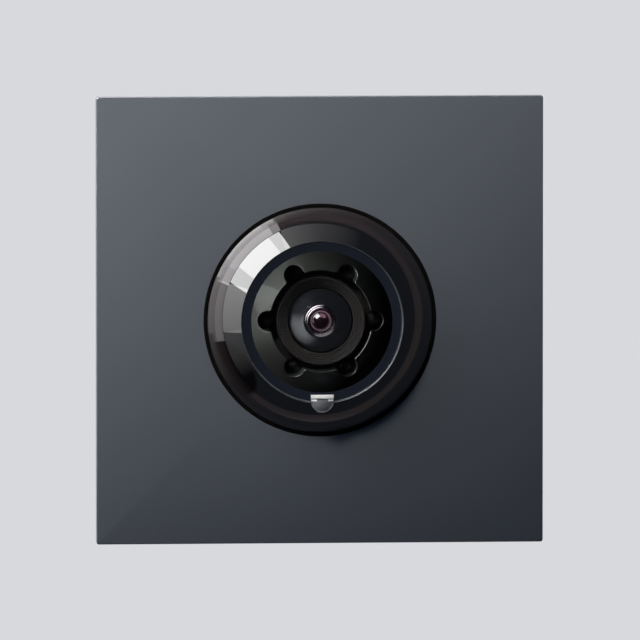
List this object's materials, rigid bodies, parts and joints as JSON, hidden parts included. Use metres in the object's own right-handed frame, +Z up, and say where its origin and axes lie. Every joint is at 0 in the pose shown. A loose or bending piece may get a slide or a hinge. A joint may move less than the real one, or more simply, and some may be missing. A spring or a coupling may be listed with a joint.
{
  "type": "door station camera module",
  "caption": "Square flush camera module of a door intercom: flat satin plate, round glossy dome with clear window, pan and tilt camera ball, rear housing and wall frame.",
  "frame": {"origin": "centre of the wall plane: the middle of the four wall screw holes, on the back face of the mounting frame", "axes": "+Z up, +X to the right as seen from the street, +Y into the wall; the camera looks along -Y"},
  "size_m": [0.1064, 0.0594, 0.1064],
  "materials": {
    "plate_paint": "satin anthracite paint on aluminium",
    "black_rubber": "matt black rubber",
    "dome_gloss": "polished black plastic",
    "clear_window": "clear polycarbonate",
    "mask_ink": "dark blue-black print behind the window",
    "light_guide": "clear acrylic",
    "ball_black": "satin black moulded plastic",
    "shroud_black": "matt black moulded plastic",
    "barrel_black": "black anodised",
    "retainer_ring": "turned, black anodised, bright edge",
    "lens_glass": "coated optical glass",
    "lamp_lens": "dark infrared-clear resin",
    "tray_black": "black glass-filled plastic",
    "housing_grey": "dark grey plastic, fine texture",
    "foam_seal": "closed-cell foam",
    "stainless": "stainless steel",
    "zinc_steel": "zinc-plated steel",
    "brass_pin": "turned brass",
    "washer_acetal": "natural acetal",
    "gimbal_plastic": "black acetal",
    "board_green": "green solder resist",
    "board_black": "matt black solder resist",
    "chip_black": "black epoxy",
    "shield_tin": "tinned steel",
    "choke_ferrite": "ferrite",
    "capacitor_can": "bright aluminium can",
    "ribbon_amber": "amber polyimide film",
    "heater_foil": "amber heating foil",
    "lead_sleeve": "red wire insulation",
    "copper_coil": "enamelled copper wire",
    "filter_glass": "cyan infrared-cut glass and clear glass",
    "terminal_grey": "light grey polyamide",
    "button_orange": "orange polyamide",
    "header_black": "black polyamide",
    "gold_pin": "gold-plated",
    "slider_white": "white acetal"
  },
  "bodies": {
    "housing": {"front_plate": "plate_paint", "plate_nuts": "zinc_steel", "module_tray": "tray_black", "wall_seal": "foam_seal", "dome_seal": "black_rubber", "dome_ring": "dome_gloss", "window": "clear_window", "window_mask": "mask_ink", "sensor_light_guide": "light_guide", "light_sensor": "board_black", "heater_ring": "heater_foil", "heater_leads": "lead_sleeve", "yoke": "gimbal_plastic", "yoke_screws": "zinc_steel", "pan_pins": "brass_pin", "housing_seal": "foam_seal", "rear_housing": "housing_grey", "housing_screws": "stainless", "main_board": "board_green", "board_screws": "zinc_steel", "shield_can": "shield_tin", "video_processor": "chip_black", "bus_choke": "choke_ferrite", "capacitors": "capacitor_can", "camera_ribbon": "ribbon_amber", "terminal_block": "terminal_grey", "terminal_springs": "stainless", "link_headers": "header_black", "link_header_pins": "gold_pin", "terminator_switch": "header_black", "mounting_frame": "zinc_steel"},
    "gimbal": {"gimbal_ring": "gimbal_plastic", "friction_washers": "washer_acetal"},
    "camera_ball": {"ball_front_shell": "ball_black", "ball_rear_shell": "ball_black", "ball_screws": "zinc_steel", "tilt_pins": "brass_pin", "led_board": "board_black", "infrared_leds": "lamp_lens", "lens_shroud": "shroud_black", "lens_holder": "shroud_black", "lens_barrel": "barrel_black", "lens_lock_ring": "barrel_black", "lens_retainer": "retainer_ring", "front_lens": "lens_glass", "inner_lenses": "lens_glass", "filter_case": "shroud_black", "filter_coil": "copper_coil", "image_sensor": "chip_black", "image_board": "board_black"},
    "filter_slide": {"filter_shuttle": "shroud_black", "filter_glasses": "filter_glass"},
    "lock_washer": {"lock_washer": "stainless"},
    "lock_screw": {"lock_screw": "stainless"},
    "terminator_slider": {"terminator_slider": "slider_white"},
    "terminal_button_1": {"terminal_button_1": "button_orange"},
    "terminal_button_2": {"terminal_button_2": "button_orange"},
    "terminal_button_3": {"terminal_button_3": "button_orange"},
    "terminal_button_4": {"terminal_button_4": "button_orange"}
  },
  "joints": [
    {"name": "ball_pan", "type": "hinge", "parent": "housing", "child": "gimbal", "pos_m": [0, 0.0068, 0], "axis": [0, 0, 1], "range_deg": [-20, 20], "deforming": ["camera_ribbon"]},
    {"name": "ball_tilt", "type": "hinge", "parent": "gimbal", "child": "camera_ball", "pos_m": [0, 0.0068, 0], "axis": [1, 0, 0], "range_deg": [-20, 20], "deforming": ["camera_ribbon"]},
    {"name": "filter_shift", "type": "slide", "parent": "camera_ball", "child": "filter_slide", "axis": [1, 0, 0], "range_m": [0, 0.0062]},
    {"name": "lock_screw_travel", "type": "slide", "parent": "housing", "child": "lock_washer", "axis": [0, 0, -1], "range_m": [0, 0.0024]},
    {"name": "lock_screw_turn", "type": "hinge", "parent": "lock_washer", "child": "lock_screw", "pos_m": [0, -0.0046, -0.05], "axis": [0, 0, -1], "range_deg": [0, 1730]},
    {"name": "terminator_slide", "type": "slide", "parent": "housing", "child": "terminator_slider", "axis": [1, 0, 0], "range_m": [0, 0.002]},
    {"name": "terminal_button_1_press", "type": "slide", "parent": "housing", "child": "terminal_button_1", "axis": [0, -1, 0], "range_m": [0, 0.0012], "stiffness_N_per_m": 500, "deforming": ["terminal_springs"]},
    {"name": "terminal_button_2_press", "type": "slide", "parent": "housing", "child": "terminal_button_2", "axis": [0, -1, 0], "range_m": [0, 0.0012], "stiffness_N_per_m": 500, "deforming": ["terminal_springs"]},
    {"name": "terminal_button_3_press", "type": "slide", "parent": "housing", "child": "terminal_button_3", "axis": [0, -1, 0], "range_m": [0, 0.0012], "stiffness_N_per_m": 500, "deforming": ["terminal_springs"]},
    {"name": "terminal_button_4_press", "type": "slide", "parent": "housing", "child": "terminal_button_4", "axis": [0, -1, 0], "range_m": [0, 0.0012], "stiffness_N_per_m": 500, "deforming": ["terminal_springs"]}
  ],
  "couplings": [
    {"joint": "lock_screw_turn", "follows": "lock_screw_travel", "rad_per_m": 12566}
  ]
}
